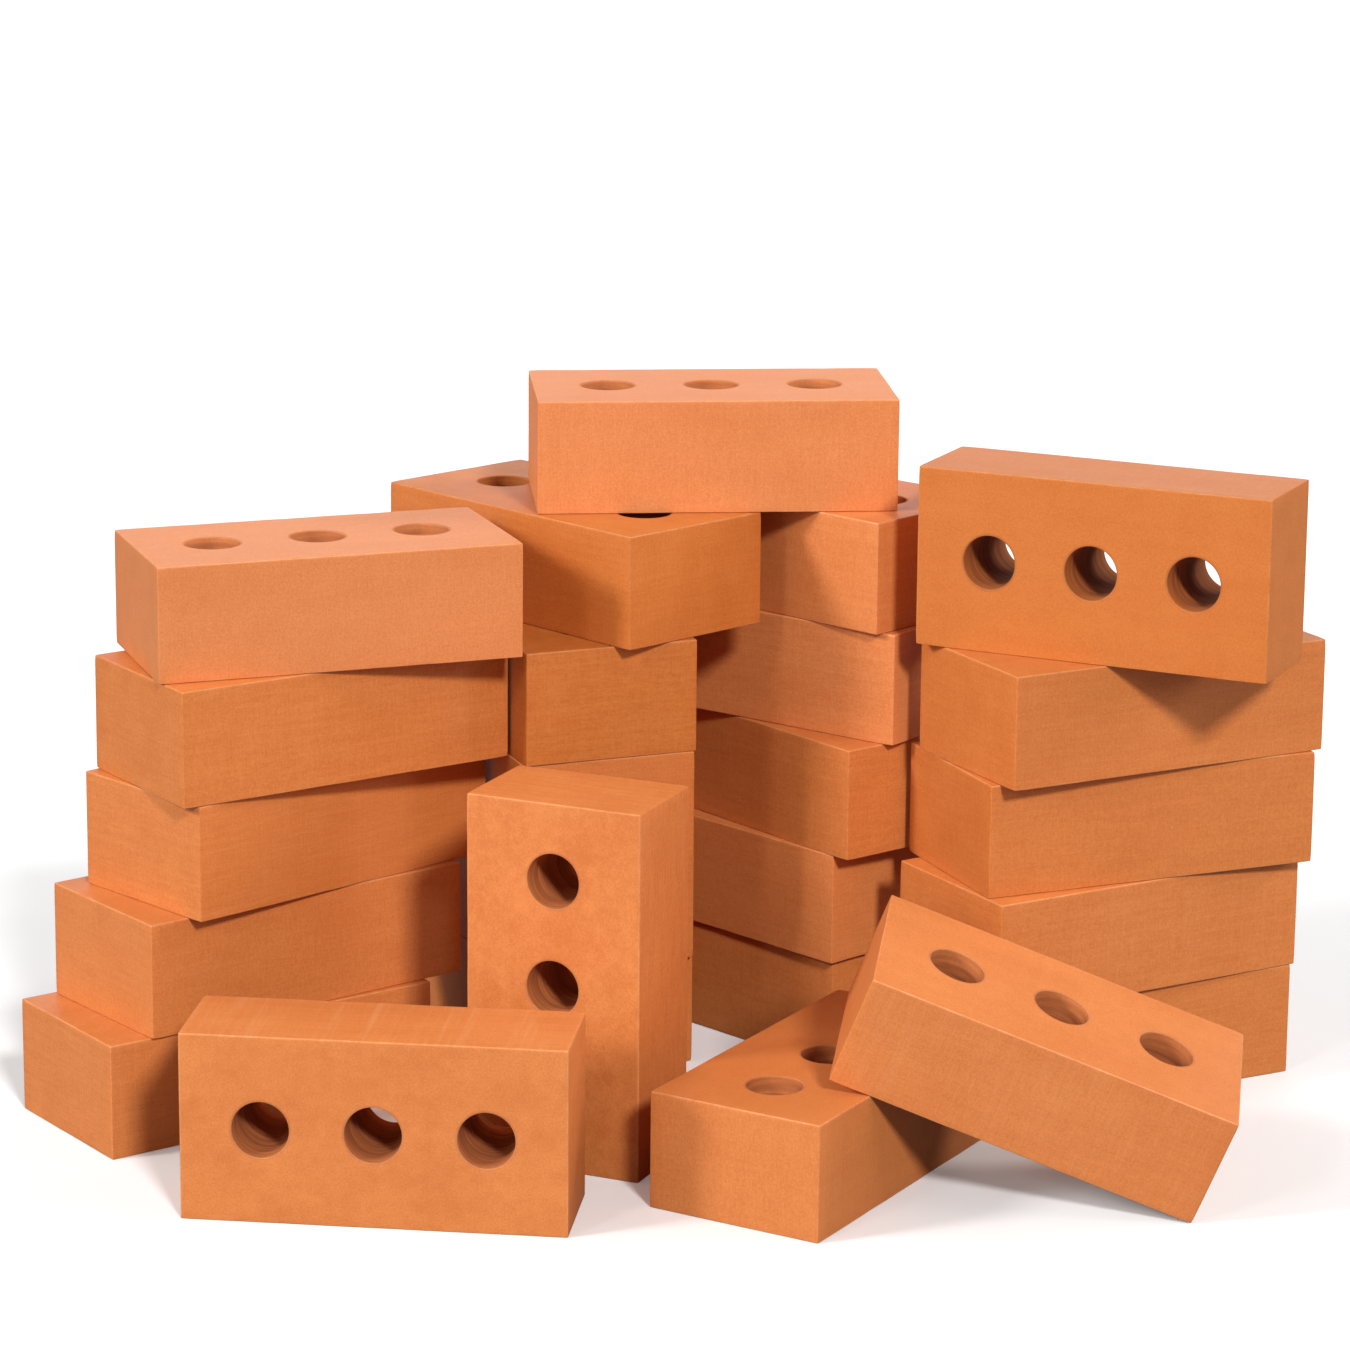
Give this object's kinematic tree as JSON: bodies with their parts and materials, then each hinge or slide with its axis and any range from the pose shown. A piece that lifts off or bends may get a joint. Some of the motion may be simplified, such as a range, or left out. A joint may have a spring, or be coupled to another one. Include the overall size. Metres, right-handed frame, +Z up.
{
  "type": "building brick set",
  "caption": "Heap of loose life-size play building bricks, each a plain foam block with three round through holes, stacked in columns, on edge, on end and leaning.",
  "frame": {"origin": "on the floor under the middle of the heap's box", "axes": "+Z up, +X to the right along the row of stacks as seen from the front, -Y to the front"},
  "size_m": [0.7219, 0.4913, 0.384],
  "materials": {
    "brick_foam": "satin closed-cell foam, terracotta orange, fine layer lines on the sides and in the holes"
  },
  "bodies": {
    "centre_base": {"centre_left_brick_1": "brick_foam", "centre_right_brick_1": "brick_foam"},
    "left_brick_1": {"left_brick_1": "brick_foam"},
    "left_brick_2": {"left_brick_2": "brick_foam"},
    "left_brick_3": {"left_brick_3": "brick_foam"},
    "left_brick_4": {"left_brick_4": "brick_foam"},
    "left_brick_5": {"left_brick_5": "brick_foam"},
    "centre_right_brick_2": {"centre_right_brick_2": "brick_foam"},
    "centre_right_brick_3": {"centre_right_brick_3": "brick_foam"},
    "centre_right_brick_4": {"centre_right_brick_4": "brick_foam"},
    "centre_right_brick_5": {"centre_right_brick_5": "brick_foam"},
    "centre_left_brick_2": {"centre_left_brick_2": "brick_foam"},
    "centre_left_brick_3": {"centre_left_brick_3": "brick_foam"},
    "centre_left_brick_4": {"centre_left_brick_4": "brick_foam"},
    "centre_left_brick_5": {"centre_left_brick_5": "brick_foam"},
    "bridge_brick": {"bridge_brick": "brick_foam"},
    "right_brick_1": {"right_brick_1": "brick_foam"},
    "right_brick_2": {"right_brick_2": "brick_foam"},
    "right_brick_3": {"right_brick_3": "brick_foam"},
    "right_brick_4": {"right_brick_4": "brick_foam"},
    "right_top_brick": {"right_top_brick": "brick_foam"},
    "front_edge_brick": {"front_edge_brick": "brick_foam"},
    "front_end_brick": {"front_end_brick": "brick_foam"},
    "front_flat_brick": {"front_flat_brick": "brick_foam"},
    "front_leaning_brick": {"front_leaning_brick": "brick_foam"}
  },
  "joints": [
    {"name": "left_brick_1_lift", "type": "slide", "parent": "centre_base", "child": "left_brick_1", "axis": [0, 0, 1], "range_m": [0, 0.15]},
    {"name": "left_brick_2_lift", "type": "slide", "parent": "left_brick_1", "child": "left_brick_2", "axis": [0, 0, 1], "range_m": [0, 0.15]},
    {"name": "left_brick_3_lift", "type": "slide", "parent": "left_brick_2", "child": "left_brick_3", "axis": [0, 0, 1], "range_m": [0, 0.15]},
    {"name": "left_brick_4_lift", "type": "slide", "parent": "left_brick_3", "child": "left_brick_4", "axis": [0, 0, 1], "range_m": [0, 0.15]},
    {"name": "left_brick_5_lift", "type": "slide", "parent": "left_brick_4", "child": "left_brick_5", "axis": [0, 0, 1], "range_m": [0, 0.15]},
    {"name": "centre_right_brick_2_lift", "type": "slide", "parent": "centre_base", "child": "centre_right_brick_2", "axis": [0, 0, 1], "range_m": [0, 0.15]},
    {"name": "centre_right_brick_3_lift", "type": "slide", "parent": "centre_right_brick_2", "child": "centre_right_brick_3", "axis": [0, 0, 1], "range_m": [0, 0.15]},
    {"name": "centre_right_brick_4_lift", "type": "slide", "parent": "centre_right_brick_3", "child": "centre_right_brick_4", "axis": [0, 0, 1], "range_m": [0, 0.15]},
    {"name": "centre_right_brick_5_lift", "type": "slide", "parent": "centre_right_brick_4", "child": "centre_right_brick_5", "axis": [0, 0, 1], "range_m": [0, 0.15]},
    {"name": "centre_left_brick_2_lift", "type": "slide", "parent": "centre_base", "child": "centre_left_brick_2", "axis": [0, 0, 1], "range_m": [0, 0.15]},
    {"name": "centre_left_brick_3_lift", "type": "slide", "parent": "centre_left_brick_2", "child": "centre_left_brick_3", "axis": [0, 0, 1], "range_m": [0, 0.15]},
    {"name": "centre_left_brick_4_lift", "type": "slide", "parent": "centre_left_brick_3", "child": "centre_left_brick_4", "axis": [0, 0, 1], "range_m": [0, 0.15]},
    {"name": "centre_left_brick_5_lift", "type": "slide", "parent": "centre_left_brick_4", "child": "centre_left_brick_5", "axis": [0, 0, 1], "range_m": [0, 0.15]},
    {"name": "bridge_brick_lift", "type": "slide", "parent": "centre_right_brick_5", "child": "bridge_brick", "axis": [0, 0, 1], "range_m": [0, 0.15]},
    {"name": "right_brick_1_lift", "type": "slide", "parent": "centre_base", "child": "right_brick_1", "axis": [0, 0, 1], "range_m": [0, 0.15]},
    {"name": "right_brick_2_lift", "type": "slide", "parent": "right_brick_1", "child": "right_brick_2", "axis": [0, 0, 1], "range_m": [0, 0.15]},
    {"name": "right_brick_3_lift", "type": "slide", "parent": "right_brick_2", "child": "right_brick_3", "axis": [0, 0, 1], "range_m": [0, 0.15]},
    {"name": "right_brick_4_lift", "type": "slide", "parent": "right_brick_3", "child": "right_brick_4", "axis": [0, 0, 1], "range_m": [0, 0.15]},
    {"name": "right_top_brick_lift", "type": "slide", "parent": "right_brick_4", "child": "right_top_brick", "axis": [0, 0, 1], "range_m": [0, 0.15]},
    {"name": "front_edge_brick_lift", "type": "slide", "parent": "centre_base", "child": "front_edge_brick", "axis": [0, 0, 1], "range_m": [0, 0.15]},
    {"name": "front_end_brick_lift", "type": "slide", "parent": "centre_base", "child": "front_end_brick", "axis": [0, 0, 1], "range_m": [0, 0.15]},
    {"name": "front_flat_brick_lift", "type": "slide", "parent": "centre_base", "child": "front_flat_brick", "axis": [0, 0, 1], "range_m": [0, 0.15]},
    {"name": "front_leaning_brick_lift", "type": "slide", "parent": "front_flat_brick", "child": "front_leaning_brick", "axis": [0, 0, 1], "range_m": [0, 0.15]}
  ],
  "couplings": [
    {"joint": "centre_left_brick_2_lift", "follows": "centre_right_brick_2_lift", "ratio": 1},
    {"joint": "centre_left_brick_3_lift", "follows": "centre_right_brick_3_lift", "ratio": 1},
    {"joint": "centre_left_brick_4_lift", "follows": "centre_right_brick_4_lift", "ratio": 1},
    {"joint": "centre_left_brick_5_lift", "follows": "centre_right_brick_5_lift", "ratio": 1}
  ]
}
